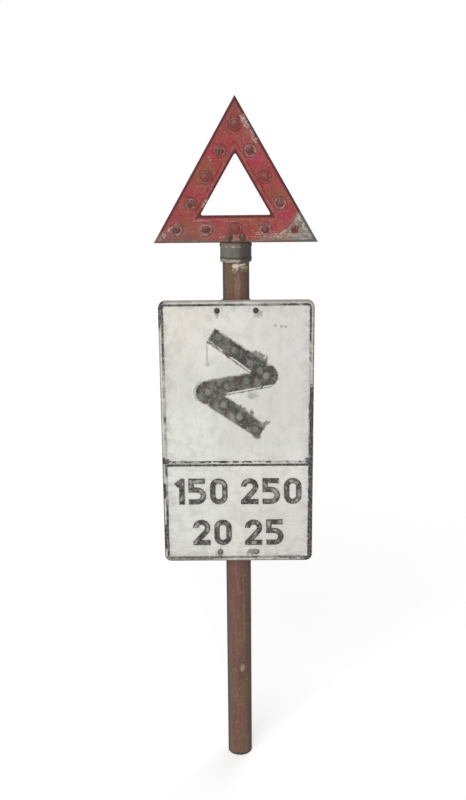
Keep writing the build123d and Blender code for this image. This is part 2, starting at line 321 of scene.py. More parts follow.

# %% [markdown]
# ## The post
# A steel tube in brown oxide paint. Rain runs down it, so its stains are tall and narrow: the noise
# is stretched along Z. The right side and both edges of the tube are darkened as painted shade. Below
# the socket the paint has flaked to a pale undercoat and some moss grows, and the foot is darker for its
# last centimetre. The rust pits are relief, because they show when light grazes.

# %% Brown oxide paint
def brown_oxide():
    coat = Finish("brown_oxide")
    x, y, z = coat.x, coat.y, coat.z
    grain = coat.grain(5, 1)
    ragged = coat.ragged(7, 5)
    streaks = coat.noise(12, 3, stretch=(1, 1, 16))
    on_front = y.fade(0, -10)
    # painted shade: the right of the front is darker, more so higher up
    right_painted_shade = x.fade(4, 30) * (z.fade(700, 1500) * 0.25 + 0.25)
    rubbed = coat.patches(ragged * 0.5, (4, 1535, 8, 42))
    olive = coat.spots(34, 0.4, 21, stretch=(1, 1, 1.6)) * z.fade(1500, 1550)
    olive = olive | coat.patches(ragged * 0.5, (-16, 1572, 22, 22))
    olive = olive | coat.patches(ragged * 0.4, (24, 240, 20, 52))
    rusty = coat.patches(ragged * 0.4, (9, 296, 11, 18))
    moss = coat.patches(ragged * 0.7, (23, 1584, 14, 11))
    sprig = coat.patches(ragged * 0.7, (24, 1586, 9, 3.5))
    flaked = coat.patches(ragged * 0.7, (-1, 1592, 10, 8)) | coat.patches(ragged, (18, 1594, 9, 3.5))
    flaked = flaked | coat.patches(ragged, (-3, 1579, 9, 9)) * coat.spots(6, 0.4, 61) * 0.6
    flaked = (flaked | coat.patches(ragged, (10, 316, 7, 12)) * 0.33) * on_front
    flaked = flaked | z.fade(1570, 1604) * coat.spots(10, 0.1, 31) * 0.6
    # the foot is darker for its lowest centimetre
    foot = (z + (y + 38) * 0.6 + (grain - 0.5) * 6).fade(13, 10) | z.fade(6, 3)

    colour = coat.layers(
        (112, 86, 69),
        (coat.spots(60, 0.5, 9, stretch=(1, 1, 2)), (112, 80, 71)),
        (streaks.fade(0.52, 0.64) * 0.6, (130, 100, 84)),
        (streaks.fade(0.46, 0.34) * 0.6, (90, 68, 60)),
        (right_painted_shade * on_front, (92, 72, 62)),
        (x.fade(-20, -31) * on_front * 0.45, (106, 99, 90)),
        (rubbed * on_front * 0.4, (152, 124, 110)),
        (olive * on_front * 0.65, (105, 90, 67)),
        (coat.spots(8, 0.2, 41) * 0.35, (150, 122, 106)),
        (coat.spots(6, 0.2, 51) * 0.4, (80, 60, 52)),
        (rusty * on_front * 0.5, (94, 68, 50)),
        # painted shade along both edges of the tube
        (abs(x).fade(28, 35) * 0.6, (70, 62, 54)),
        (moss * on_front * 0.75, (122, 114, 84)),
        (sprig * on_front * 0.7, (166, 158, 132)),
        (flaked, (202, 188, 175)),
        (foot, (76, 73, 72)))
    relief = grain * 0.7 + streaks * 0.3 - flaked * 0.5
    return coat.apply(colour, 0.62 + grain * 0.25, relief, depth=0.5)


dress(brown_oxide(), "post")

# %% [markdown]
# ## The socket
# A casting in thick grey paint, painted lighter on its left side as painted light and darker over its
# right side and at both edges as painted shade. Its lip and bead, which stand furthest out, are pale
# with rubs and with a painted highlight that fades on the shaded right. The bands are found by height
# alone, because the socket is turned: a height is a place on its profile.

# %% Dark socket paint
def dark_socket_paint():
    coat = Finish("dark_socket_paint")
    x, z = coat.x, coat.z
    grain = coat.grain(4, 8)
    lip = z.fade(1612, 1609)
    # the right side, which takes painted shade
    right = (x + coat.ragged(6, 18) * 3).fade(4, 18)
    # pale rubs on the lip and bead, partly a painted highlight, weaker on the shaded right
    rubbed = (lip | z.band(1645, 4)) * coat.spots(8, 0.38, 15, stretch=(1.8, 1.8, 0.6))
    rubbed = rubbed * (1 - right * 0.8)
    groove = z.band(1613.5, 2.5) | z.fade(1600.5, 1599.5)
    colour = coat.layers(
        (94, 92, 84),
        (coat.spots(22, 0.5, 4, soft=0.1), (108, 104, 96)),
        # painted light on the left side
        (x.fade(-4, -22) * 0.6, (118, 115, 107)),
        (z.fade(1640, 1644) * 0.8, (128, 109, 103)),
        # the lip paler, partly a painted highlight
        (lip * 0.7, (132, 122, 112)),
        # painted shade over the right side and at both edges
        (right * 0.85, (70, 64, 65)),
        (x.fade(-36, -42) * 0.6, (64, 66, 58)),
        (x.fade(32, 40) * 0.7, (46, 43, 43)),
        (rubbed * 0.85, (186, 176, 164)),
        (groove * 0.8, (48, 44, 42)))
    return coat.apply(colour, 0.42 + grain * 0.3, grain - rubbed * 0.4, depth=0.5)


dress(dark_socket_paint(), "finial_socket")

# %% [markdown]
# ## The warning triangle
# Red enamel, faded to salmon, over a cast alloy that shows where the coat has gone. Most of what
# makes it look old has a place: the bare corner, the darker bands along the edges, the pale chips. The
# distance from the nearest outer edge is one sum, because the triangle is the same on its three sides.
# The smears and dark rings round the reflectors need the distance to the nearest one, so the frame is
# asked for them.

# %% Triangle measures
triangle_low, triangle_high = box_of("warning_triangle")
triangle_side = triangle_high.x - triangle_low.x
triangle_inradius = triangle_side / (2 * sqrt(3))
triangle_middle = triangle_low.z + triangle_inradius
triangle_bar = 76.2
bar_names = [f"triangle_{bar}_lens_{count}" for bar in ("base", "right", "left") for count in (1, 2, 3, 4)]
print("triangle: side", round(triangle_side, 1), "mm, middle at", round(triangle_middle, 1))


def triangle_edges(coat):
    """The distances from the outer edge and from the opening's edge, measured in the face."""
    side = triangle_inradius - (abs(coat.x) * (sqrt(3) / 2) + (coat.z - triangle_middle) * 0.5)
    outer = side & (coat.z - triangle_low.z)
    return outer, triangle_bar - outer


def reflector_distance(coat, names):
    """How far a place on the front lies from the middle of the nearest reflector."""
    middles = [sum(box_of(name), Vector()) / 2 for name in names]
    return coat.near(*((middle.x, middle.z) for middle in middles))


# %% Red and bare alloy
# Ovals of chips and scratches, under the share of the undercoat that shows in them
pale_places = {
    1.0: ((26, 1987, 8, 20, 25), (53, 1938, 6, 15, 30), (-71, 1886, 4, 5), (-86, 1764, 4, 15, -30),
          (177, 1726, 4, 14, 25), (190, 1700, 3, 10), (-202, 1674, 6, 9), (-188, 1692, 4, 8, -30),
          (168, 1676, 18, 3), (135, 1684, 14, 4, 35)),
    0.8: ((82.5, 1683.5, 27.5, 2, 1.0), (105, 1677.5, 45, 2, 0.6), (107.5, 1671.5, 62.5, 2, 0.5)),
    0.6: ((42.5, 1965, 39.6, 3.5, -62.1), (-88, 1677, 10, 3)),
    0.45: ((0, 1669, 36, 8), (-13, 1714.5, 21, 2, 1.4)),
    0.4: ((-93.5, 1716.5, 28.5, 2, 1.0),)}


def faded_red(coat):
    """Red that was touched up many times: crimson and brown patches, haze, rubs and pits."""
    wander = coat.ragged(20, 62) * 0.5
    crimson = coat.patches(wander, (-66, 1905, 22, 22), (60, 1888, 26, 20), (137, 1725, 20, 30),
                           (-42, 1692, 20, 12), (112, 1694, 18, 13), edge=(1.3, 0.7))
    crimson = crimson | coat.spots(30, 0.2, 12) * 0.6
    brown = coat.patches(wander, (-90, 1850, 32, 38), (-138, 1692, 17, 38), (124, 1786, 30, 20),
                         (42, 1712, 28, 10), edge=(1.3, 0.7))
    return coat.layers(
        (149, 66, 61),
        (coat.spots(60, 0.5, 2), (152, 62, 63)),
        (crimson * 0.9, (160, 55, 69)),
        (brown * 0.9, (138, 76, 56)),
        (coat.spots(45, 0.3, 32, soft=0.15) * 0.35, (156, 106, 98)),
        (coat.spots(9, 0.2, 42) * 0.4, (178, 122, 114)),
        (coat.spots(7, 0.2, 52) * 0.55, (104, 46, 46)))


def bare_alloy(coat):
    """Weathered cast alloy: dull grey, blotched, with brown runs and bright rubs."""
    return coat.layers(
        (124, 121, 113),
        (coat.spots(16, 0.5, 44, soft=0.1), (147, 143, 133)),
        (coat.spots(8, 0.25, 64, stretch=(2, 1, 0.6)) * 0.7, (108, 90, 76)),
        (coat.spots(7, 0.25, 74, stretch=(2, 1, 0.6)) * 0.8, (184, 174, 161)))


def lost_red(coat, ragged):
    """Where the red has gone: the lower right corner, the bottom edge and the left tip."""
    border = ((55, 1664), (105, 1670), (138, 1684), (178, 1738))
    corner = reduce(or_, map(coat.beyond, border, border[1:]))
    bottom = (coat.z + ragged * 3).fade(1664, 1660)
    tip = (coat.x + ragged * 4).fade(-207, -213)
    return (corner + ragged * 8).fade(-3, 3) | bottom * 0.75 | tip


def pale_chips(coat, ragged):
    """Where the undercoat shows, in chips and in thin scratches along the bars."""
    chips = [coat.patches(ragged, *ovals) * depth for depth, ovals in pale_places.items()]
    return reduce(or_, chips) * coat.spots(5, 0.6, 82)


print("chips and scratches:", sum(map(len, pale_places.values())))

# %% [markdown]
# The layers of the triangle go from old to new: the red, the haze and the darker bands over it, the
# places that lost it, the chips, and what touches the reflectors. The hollow back was never painted
# red, so bare alloy covers it last.

# %% Red enamel
def red_enamel():
    coat = Finish("red_enamel")
    x, y, z = coat.x, coat.y, coat.z
    outer, inner = triangle_edges(coat)
    away = reflector_distance(coat, bar_names)
    grain = coat.grain(5, 7)
    ragged = coat.ragged(8, 17)
    wobble = (grain - 0.5) * 8

    hazy = z.fade(1735, 1690) * (x.fade(-40, -90) | x.fade(40, 0) * 0.8)
    dull = z.fade(1688, 1668) * x.fade(-40, -150)
    line = (inner + wobble).band(16, 3.0) * coat.spots(40, 0.6, 92) * (z.fade(1730, 1750) | 0.4)
    # darker along the outer and inner edges
    dark_edges = (outer + wobble).fade(9, 5.5) | (inner + wobble).fade(8, 5)
    worn = coat.near((124, 1764), (-83, 1692), (83, 1692), (166, 1692), (-166, 1692), (41, 1907))
    worn = worn.fade(40, 30) | coat.spots(30, 0.25, 102) * 0.6
    smears = (away + wobble).fade(30, 16) * worn * coat.spots(12, 0.5, 122, soft=0.1)
    ring = (away + wobble).band(18.5, 3.5) * coat.spots(16, 0.5, 132, soft=0.1)
    collar = (away + wobble * 0.4).fade(17.5, 15.5)

    alloy = bare_alloy(coat)
    bare = lost_red(coat, ragged)
    ends = x.fade(60, 140) | x.fade(-190, -205) | 0.25
    half_worn = (coat.spots(14, 0.5, 142, soft=0.1) * 0.5 + 0.25) * x.fade(172, 140)
    metal = coat.layers(
        alloy,
        ((outer + wobble).fade(10, 6) * ends * 0.8, (84, 86, 82)),
        (half_worn, (136, 84, 76)))
    chips = pale_chips(coat, ragged)
    back = coat.layers(alloy, (coat.spots(40, 0.5, 61) * 0.8, (104, 100, 96)))
    hollow = y.fade(-16, -15) * (outer & inner).fade(3, 5) | y.fade(-8, -6)

    colour = coat.layers(
        faded_red(coat),
        (z.fade(1930, 2000) * 0.4, (120, 74, 68)),
        (hazy * 0.28, (136, 106, 100)),
        (dull * 0.5, (106, 78, 74)),
        (line * 0.8, (108, 42, 44)),
        (inner.band(11, 4) * coat.spots(30, 0.5, 72) * 0.4, (176, 112, 104)),
        (dark_edges * 0.9, (80, 44, 44)),
        (smears * 0.6, (142, 114, 104)),
        (ring * 0.7, (98, 48, 46)),
        (bare, metal),
        (chips * 0.8, (192, 172, 162)),
        (collar * 0.4, (126, 72, 64)),
        (collar * worn * coat.spots(9, 0.45, 112) * 0.75, (166, 142, 134)),
        (hollow, back))
    return coat.apply(colour, 0.5 + grain * 0.3, grain * 0.6 - (bare | chips) * 0.8, depth=0.6)


dress(red_enamel(), "warning_triangle")

# %% [markdown]
# ## The sign plate
# White enamel on cast alloy, with a raised border, a divider and the symbol picked out in black. The
# black has rubbed off the tops of the border but stays along its shoulders, so the finish draws lines
# at chosen distances from the plate's edge. Where the tops still hold paint is a sum of heights and
# sides, and noise decides which spots keep it.

# %% Plate measures
plate_low, plate_high = box_of("sign_plate")
plate_half_width = plate_high.x
plate_half_height = (plate_high.z - plate_low.z) / 2
plate_middle = (plate_high.z + plate_low.z) / 2
plate_corner = 20.0
bead_width = 14.0
shoulder_line = 10.8
divider_height = 1006.5
panel_face = -53.1
arm_names = [f"symbol_{arm}_lens_{count}" for arm in ("upper_arm", "lower_arm") for count in (1, 2, 3)]
arm_names += [f"symbol_link_lens_{count}" for count in (1, 2, 3, 4)]
print("plate:", round(2 * plate_half_width, 1), "by", round(2 * plate_half_height, 1), "mm")


def plate_edge(coat):
    """The distance in from the plate's outer edge, which has round corners."""
    across = abs(coat.x) - (plate_half_width - plate_corner)
    up = abs(coat.z - plate_middle) - (plate_half_height - plate_corner)
    past = coat.node("CombineXYZ", {0: across | 0.0, 1: up | 0.0})
    corner = coat.node("VectorMath", {0: past}, "Value", operation="LENGTH")
    return plate_corner - corner - ((across | up) & 0.0)


# %% [markdown]
# The symbol is two noses joined by three straight bars. Where black paint bleeds past its edge or
# has worn back from it, the finish needs the distance to that edge. It comes from the same few
# points as the casting, moved a little lower and to the left: each bar is the space between straight
# lines, and each nose is a circle. For distances, | is what lies inside both shapes and & what lies
# inside either.

# %% Distance to the symbol
# the symbol's paint sits this far lower and to the left of the casting
symbol_paint_shift = Vector((-0.6, -1.8))
symbol_middle = Vector((0, 1251.5)) + symbol_paint_shift
nose_centre = Vector((84.0, 23.5))
nose_radius = 34.0
arm_end_high = Vector((-60.5, 163.5))
arm_end_low = Vector((-82.5, 127.0))
notch = Vector((38.5, 33.0))


def tangent_point(start, side):
    """Where a line from start touches the upper nose, on the side given as 1 or -1."""
    reach = start - nose_centre
    turn = side * acos(nose_radius / reach.length)
    return nose_centre + Matrix.Rotation(turn, 2) @ reach.normalized() * nose_radius


nose_start = tangent_point(arm_end_high, -1)
nose_finish = tangent_point(-notch, 1)


def symbol_half(coat, turn):
    """One arm with its nose, and one side of the link, upright for a turn of 1 and upside down for -1."""
    def beyond(start, end):
        return coat.beyond(symbol_middle + start * turn, symbol_middle + end * turn)

    arm = beyond(nose_start, arm_end_high) | beyond(arm_end_high, arm_end_low)
    arm = arm | beyond(arm_end_low, notch) | (coat.x * turn - nose_centre.x)
    nose = symbol_middle + nose_centre * turn
    return arm & (coat.reach(nose.x, nose.y) - nose_radius), beyond(-notch, nose_finish)


def symbol_distance(coat):
    """How far a place lies outside the symbol's edge, less than nought inside, and below its link."""
    upper, below_link = symbol_half(coat, 1)
    lower, above_link = symbol_half(coat, -1)
    link = below_link | above_link | (abs(coat.x) - nose_centre.x)
    return upper & lower & link, below_link


print("symbol: nose from", nose_start, "to", nose_finish)

# %% [markdown]
# The white comes first, with its yellowing and grime, and the border goes over it. Its black has two
# parts: what the tops still hold, and the lines that stay along the shoulders.

# %% White panel and border
def panel_white(coat, edge):
    """Off-white that has yellowed at the top left and dulled to the right, with grime at its edges."""
    x, z = coat.x, coat.z
    brushed = coat.spots(11, 0.25, 95, soft=0.1, stretch=(7, 1, 0.5)) * z.fade(1090, 1010)
    splashed = coat.spots(14, 0.5, 37, soft=0.1, stretch=(3, 1, 0.6)) * z.fade(790, 715)
    grime = (edge + coat.ragged(14, 43) * 14).fade(44, 14) * coat.spots(22, 0.5, 53, soft=0.1)
    return coat.layers(
        (224, 223, 217),
        (coat.spots(140, 0.5, 6, soft=0.12), (213, 212, 207)),
        (z.fade(1150, 1480) * x.fade(40, -180) * 0.8, (226, 220, 209)),
        (x.fade(-40, 140) * z.fade(1000, 1150) * 0.7, (213, 207, 203)),
        (x.fade(20, -120) * z.fade(1250, 1100) * 0.7, (223, 226, 220)),
        (coat.spots(30, 0.3, 16, soft=0.12) * 0.5, (198, 195, 189)),
        (coat.spots(13, 0.25, 33, soft=0.1, stretch=(1, 1, 3)) * 0.22, (188, 184, 177)),
        (brushed * 0.35, (192, 188, 182)),
        (coat.spots(6, 0.05, 23) * 0.4, (150, 144, 136)),
        (splashed * 0.5, (200, 188, 177)),
        (grime * 0.5, (178, 174, 167)))


def border_paint(coat, edge, ragged, white):
    """Lay the border and the divider over the white: rubbed tops, and black left along their shoulders."""
    x, z = coat.x, coat.z
    wobble = ragged * 2.4
    bead = edge.fade(bead_width + 0.5, bead_width - 0.5)
    inside = edge.fade(bead_width - 3, bead_width)
    left, right = x.fade(-203, -207), x.fade(203, 207)
    bottom, top = z.fade(713, 709), z.fade(1477, 1481)

    cover = z.fade(1370, 1440) * 0.55 | z.band(1018, 15) | z.band(775, 65) * 0.6
    cover = left * (cover | z.band(922, 34)) * edge.fade(11, 7) | top * x.fade(-150, -215) * 0.45
    cover = cover | right * (z.fade(1290, 1195) | 0.33) * edge.fade(12.5, 10)
    foot = coat.spots(22, 0.5, 133, soft=0.1, stretch=(3, 1, 1))
    foot = foot | (x.fade(0, -90) | x.fade(190, 208)) * 0.9
    cover = cover | bottom * (foot * 0.55 | 0.28)
    held = bead * (cover + ragged * 0.35).fade(0.32, 0.55)

    thin = z.fade(870, 900) * z.fade(1400, 1370) | top * x.band(25, 150) * 0.6
    thin = (thin | bottom * x.fade(-60, 40) * 0.6) * coat.spots(45, 0.5, 143, soft=0.1)
    shoulder = (edge + wobble).band(shoulder_line, 4.6) * (1 - thin * 0.85)
    rim = (edge + wobble).fade(4.6, 2.4) * (0.85 - (top | left * z.fade(1000, 1050)) * 0.4)
    above = (z + wobble).band(divider_height + 5.5, 4.0) * (coat.spots(28, 0.5, 103) | 0.3)
    above = above | coat.patches(ragged, (-150, divider_height + 3, 62, 6)) * 0.5
    below = (z + wobble).band(divider_height - 4.0, 6.0)
    blots = coat.patches(ragged, (-208, divider_height + 7, 8, 9), (208, divider_height + 7, 8, 9))
    lines = (shoulder | rim | above * inside) * coat.spots(12, 0.9, 113) | below * inside | blots * 0.9
    black = coat.layers(
        (58, 56, 54),
        (coat.spots(8, 0.42, 123) * 0.6, (124, 122, 117)),
        (bottom * x.fade(60, -40) * 0.6, (122, 115, 108)))
    return coat.layers(
        white,
        (bead * coat.spots(18, 0.45, 93, soft=0.1) * 0.45, (166, 164, 158)),
        (bead * top * x.fade(55, 85) * 0.4, (166, 162, 154)),
        (held | lines, black))


print("border: black", shoulder_line, "mm in from the edge, over a bead of", bead_width)

# %% [markdown]
# The symbol's black is older than the border's and was touched up in brown and green. It has its own
# soft edge, which noise frays, and past that edge lies a film where a wet brush or rag has wiped.

# %% Symbol black
def worn_black(coat, away):
    """The symbol's black: brown and green coats in broad patches, clouded with grey and flecked."""
    wander = coat.ragged(12, 94) * 0.4
    clouded = coat.spots(32, 0.45, 24, soft=0.08) | coat.reach(-40, 1268, 50, 12, 9).fade(1.2, 0.6)
    pale = coat.z.fade(1230, 1120) * coat.spots(26, 0.5, 104, soft=0.1)
    dark = coat.patches(wander, (-18, 1181, 30, 14, -35), (34, 1137, 32, 16, -35), (64, 1098, 13, 10),
                        edge=(1.3, 0.6))
    dabs = coat.patches(wander, (-84, 1228, 20, 17), (-37, 1231, 16, 12), (28, 1249, 16, 13),
                        (-50, 1167, 17, 9, -35), (66, 1292, 10, 12), edge=(1.2, 0.6))
    collar = away.fade(16, 11) * coat.spots(12, 0.5, 34, soft=0.1) | dabs
    ring = (away + coat.ragged(9, 44) * 3).band(17.5, 4) * coat.spots(20, 0.6, 84, soft=0.1)
    return coat.layers(
        (84, 74, 69),
        (coat.spots(45, 0.5, 13), (80, 83, 78)),
        (clouded * 0.8, (128, 125, 119)),
        (coat.spots(22, 0.33, 64, soft=0.08) * 0.8, (56, 53, 50)),
        (pale * 0.8, (158, 154, 149)),
        (dark * 0.65, (62, 59, 55)),
        (collar * 0.55, (136, 133, 128)),
        (ring * 0.5, (56, 54, 51)),
        (coat.spots(11, 0.08, 54, soft=0.07, detail=2.0) * 0.6, (180, 177, 170)))


def black_film(coat, shape, ragged):
    """Black wiped past the symbol's edge: ragged tongues that grow out of it, dabs, a drip and a smear."""
    wiped = coat.reach(70, 1332, 36, 24, -35).fade(1, 0.3) * 30 | coat.reach(15, 1178).fade(26, 6) * 9
    tongues = coat.noise(9, 77, stretch=(1, 1, 1.6)).fade(0.36, 0.62)
    film = (shape - wiped * tongues + ragged * 4).fade(5, -4)
    dabs = coat.patches(ragged * 0.5, (42, 1160, 7, 14), (85, 1131, 12, 7, 25), (58, 1091, 11, 9),
                        edge=(1.3, 0.6))
    thin = coat.patches(ragged * 0.5, (44, 1216, 15, 11), (-85, 1341, 2.4, 34), (-84, 1309, 5, 6),
                        edge=(1.4, 0.5))
    halo = shape.band(5.5, 3.5) * coat.x.fade(-100, -112) * coat.spots(14, 0.7, 87)
    return film | dabs | (thin | halo) * 0.5


def symbol_paint(coat, ragged, white):
    """Lay the symbol over the white, with its soft edge, its smears and pale lines along two lower edges,
    partly rubbed paint and partly painted highlight.
    """
    x = coat.x
    shape, below_link = symbol_distance(coat)
    film = coat.layers((128, 123, 117), (coat.spots(14, 0.4, 57, soft=0.1), (96, 91, 86)))
    frayed = ragged * 3.6 + (coat.noise(25, 63) - 0.5) * 14
    black = (shape + frayed).fade(3.5, -2.5)
    paint = worn_black(coat, reflector_distance(coat, arm_names))
    paint = coat.layers(paint, (shape.fade(-8, -2) * 0.25, (58, 55, 52)))
    under_arm = coat.beyond(symbol_middle + arm_end_low, symbol_middle + notch)
    # partly rubbed paint and partly painted highlight: pale lines along the lower edges of the upper arm and
    # of the link
    thinned_and_highlit = under_arm.band(-5, 4.2) * x.fade(42, 36) * x.fade(-90, -80)
    thinned_and_highlit = thinned_and_highlit * (coat.spots(18, 0.5, 73) | x.fade(-10, 5) * 0.9)
    rub_and_highlight = below_link.band(-4.5, 3.6) * x.fade(-38, -20) * x.fade(112, 96)
    rub_and_highlight = rub_and_highlight * coat.spots(12, 0.75, 73) | thinned_and_highlit
    film_amount = black_film(coat, shape, ragged) * 0.85
    return coat.layers(white, (film_amount, film), (black, paint), (rub_and_highlight * 0.9, (210, 207, 200))), black


print("symbol: black of two noses and three bars, with", len(arm_names), "reflectors")

# %% White enamel
def white_enamel():
    coat = Finish("white_enamel")
    edge = plate_edge(coat)
    ragged = coat.ragged(7, 27)
    grain = coat.grain(6, 83)
    colour = border_paint(coat, edge, ragged, panel_white(coat, edge))
    colour, black = symbol_paint(coat, ragged, colour)
    stains = coat.patches(ragged, (-55, 716, 12, 14), (43, 722, 17, 9))
    ticks = coat.patches(ragged * 0.5, (111, 1423, 4, 4), (128, 1420, 4, 4), (140, 1420, 4, 4))
    stains = stains | (ticks | coat.patches(ragged, (-56, 1460, 8, 13), (62, 1458, 12, 12))) * 0.7
    back = coat.layers(bare_alloy(coat), (coat.spots(60, 0.5, 71) * 0.8, (116, 114, 108)))
    hollow = coat.y.fade(-51, -50) * edge.fade(3, 5) | coat.y.fade(-41, -39)
    colour = coat.layers(colour, (stains * 0.7, (104, 95, 85)), (hollow, back))
    return coat.apply(colour, 0.45 + grain * 0.3, grain * 0.5 + black * 0.3, depth=0.4)


dress(white_enamel(), "sign_plate")

# %% [markdown]
# ## Steel and spun metal
# The clips are flat strap in the post's brown paint, rusting through. Bolts are bare steel under brown
# rust: red paint has caught the heads on the triangle and white paint the lower pair on the plate. The
# cups behind the glass are spun from thin sheet. One function makes them all, because they differ only
# in their two colours, in how shiny they are and in the size of their blotches.

# %% Metals
def weathered_metal(name, clean, rusted, rust_share, blotch, polish):
    coat = Finish(name)
    grain = coat.noise(blotch / 6, 3, detail=6.0)
    rust = coat.spots(blotch, rust_share, 5, soft=0.09, detail=6.0)
    colour = coat.layers(clean, (rust, rusted), (grain.fade(0.58, 0.75) * 0.35, (160, 142, 126)))
    coat.feed(coat.shader, {"Metallic": rust.fade(1, 0) * 0.6})
    return coat.apply(colour, polish + rust * 0.35 + grain * 0.15, grain + rust * 0.6, depth=0.15)


clip_steel = weathered_metal("clip_steel", (112, 90, 78), (92, 64, 48), 0.35, 24, 0.5)
bolt_steel = weathered_metal("bolt_steel", (88, 76, 66), (80, 60, 48), 0.6, 7, 0.4)
cup_metal = weathered_metal("cup_metal", (116, 106, 98), (82, 68, 62), 0.5, 5, 0.4)
dark_steel = weathered_metal("dark_steel", (80, 74, 69), (66, 58, 53), 0.6, 7, 0.4)
reddened_steel = weathered_metal("reddened_steel", (106, 79, 67), (86, 68, 56), 0.6, 9, 0.45)
painted_steel = weathered_metal("painted_steel", (140, 134, 126), (92, 84, 76), 0.6, 9, 0.5)
fixings = [f"{place}_{kind}" for place in ("triangle", "upper_clip", "lower_clip")
           for kind in ("bolts", "washers", "nuts")]
dress(clip_steel, "upper_post_clip", "lower_post_clip")
dress(bolt_steel, "socket_set_screws", *fixings)
dress(cup_metal, "triangle_reflector_cups", "symbol_reflector_cups")

# %% [markdown]
# ## Pieces made here
# A new piece starts as a bmesh in millimetres, is closed and has its faces turned outwards, and is
# shrunk to metres last. It then rides on the body that carries it, and stands for the plain solids
# that it covers. Smooth shading with sharp edges by angle is the look of a moulded or turned thing.

# %% From bmesh to piece
weld_distance = 0.01
cut_tolerance = 0.001
smooth_angle = radians(35)


def add_piece(name, shape, material, body, slot, *stands_for):
    """Close a bmesh in millimetres and make it a piece of the sign."""
    bmesh.ops.remove_doubles(shape, verts=shape.verts, dist=weld_distance)
    bmesh.ops.recalc_face_normals(shape, faces=shape.faces)
    bmesh.ops.scale(shape, vec=[1 / millimetres] * 3, verts=shape.verts)
    mesh = bpy.data.meshes.new(name)
    shape.to_mesh(mesh)
    shape.free()
    mesh.shade_smooth()
    mesh.set_sharp_from_angle(angle=smooth_angle)
    mesh.materials.append(material)
    piece = bpy.data.objects.new(name, mesh)
    bpy.context.scene.collection.objects.link(piece)
    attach(piece, body)
    if stands_for:
        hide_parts(*stands_for)
    return piece


def made_since(shape, before):
    """The vertices of a bmesh that were not among those before."""
    return [vertex for vertex in shape.verts if vertex not in before]


def turn_round(shape, geometry, steps):
    """Spin a profile once round the Z axis and give back all the vertices that it makes."""
    before = set(shape.verts).difference(geometry)
    bmesh.ops.spin(shape, geom=geometry, cent=(0, 0, 0), axis=(0, 0, 1), dvec=(0, 0, 0),
                   angle=2 * pi, steps=steps, use_merge=True, use_duplicate=False)
    return made_since(shape, before)


def profile(shape, points):
    """Join points of (radius, height) by straight edges."""
    verts = [shape.verts.new((radius, 0, height)) for radius, height in points]
    return verts + [shape.edges.new(pair) for pair in zip(verts, verts[1:])]


def dome(radius, rise, steps):
    """Points of (radius, height) over a shallow dome, from its top down to its rim."""
    ball = (radius ** 2 + rise ** 2) / (2 * rise)
    widest = asin(radius / ball)
    angles = [widest * step / steps for step in range(steps + 1)]
    return [(ball * sin(angle), ball * cos(angle) - ball + rise) for angle in angles]


def face_front(shape, verts, place):
    """Lay a form that stands on the Z axis so that its top looks to the front, at a place."""
    lay = Matrix.Translation(place) @ Matrix.Rotation(pi / 2, 4, "X")
    bmesh.ops.transform(shape, matrix=lay, verts=verts)


def trim(shape, kept, normal, distance):
    """Cut off what stands out beyond a plane, leave the vertices in kept alone, and give the cut's edges."""
    verts = made_since(shape, kept)
    geometry = set(verts)
    for vertex in verts:
        geometry.update(vertex.link_edges, vertex.link_faces)
    cut = bmesh.ops.bisect_plane(shape, geom=list(geometry), dist=cut_tolerance, clear_outer=True,
                                 plane_co=normal * distance, plane_no=normal)["geom_cut"]
    return [part for part in cut if isinstance(part, bmesh.types.BMEdge)]


print("a dome 20 wide and 2 high starts", [round(value, 2) for value in dome(10, 2, 4)[1]], "from its top")

# %% [markdown]
# ## The glass reflectors
# Each reflector is a pressed glass button with a domed face, set in a spun cup whose rim is rolled
# over the glass. A flattened ball would look like a bead, so the dome is the slice of a large ball
# that the button's width and rise fix. The old glass is nearly opaque: dark red on the triangle, grey
# on the symbol, clouded inside and polished by rain outside.

# %% Old glass
def old_glass(name, names, deep, cloudy, streak, paint, mark, marked):
    """Glass clouded in upright streaks, with paint on its rim, and coloured by a mark at some places."""
    coat = Finish(name)
    grain = coat.noise(1.6, 2)
    ragged = coat.ragged(6, 25)
    marks = coat.patches(ragged * 0.5, *((x, z, 14, 14) for x, z in marked))
    rim = (reflector_distance(coat, names) + ragged * 2.5).fade(7, 11.5)
    colour = coat.layers(
        deep,
        (coat.spots(9, 0.5, 5, soft=0.1), cloudy),
        (coat.spots(4, 0.25, 15, stretch=(0.8, 1, 4)) * 0.7, streak),
        (marks * 0.65, mark),
        (rim * 0.75, paint))
    coat.feed(coat.shader, {"Coat Weight": 0.2, "Coat Roughness": 0.2})
    return coat.apply(colour, 0.3 + grain * 0.2, grain, depth=0.05)


def rim_paint(name, paint, bare, covered):
    """Painted metal that shows in arcs where it has rubbed, but not at the covered places."""
    coat = Finish(name)
    rubbed = coat.spots(10, 0.4, 7)
    if covered:
        rubbed = rubbed * coat.near(*covered).fade(15, 20)
    grain = coat.noise(2, 4)
    coat.feed(coat.shader, {"Metallic": rubbed * 0.5})
    colour = coat.layers(paint, (rubbed, bare))
    return coat.apply(colour, 0.5 + grain * 0.2, grain - rubbed * 0.5, depth=0.1)


painted_over = [(0, 1979), (-83, 1836), (0, 1692), (83, 1836)]
frosted = [(84, 1275), (-84, 1228), (-39, 1190), (7, 1151)]
triangle_glass = old_glass("triangle_glass", bar_names, (80, 42, 38), (104, 54, 48), (140, 100, 90),
                           (118, 60, 55), (130, 60, 53), painted_over)
symbol_glass = old_glass("symbol_glass", arm_names, (96, 95, 90), (116, 115, 110), (140, 139, 133),
                         (80, 78, 74), (138, 136, 131), frosted)
triangle_rims = rim_paint("triangle_rims", (122, 62, 57), (170, 148, 140), painted_over)
symbol_rims = rim_paint("symbol_rims", (78, 75, 71), (124, 121, 116), [])
print("glass for", len(bar_names), "triangle and", len(arm_names), "symbol reflectors")

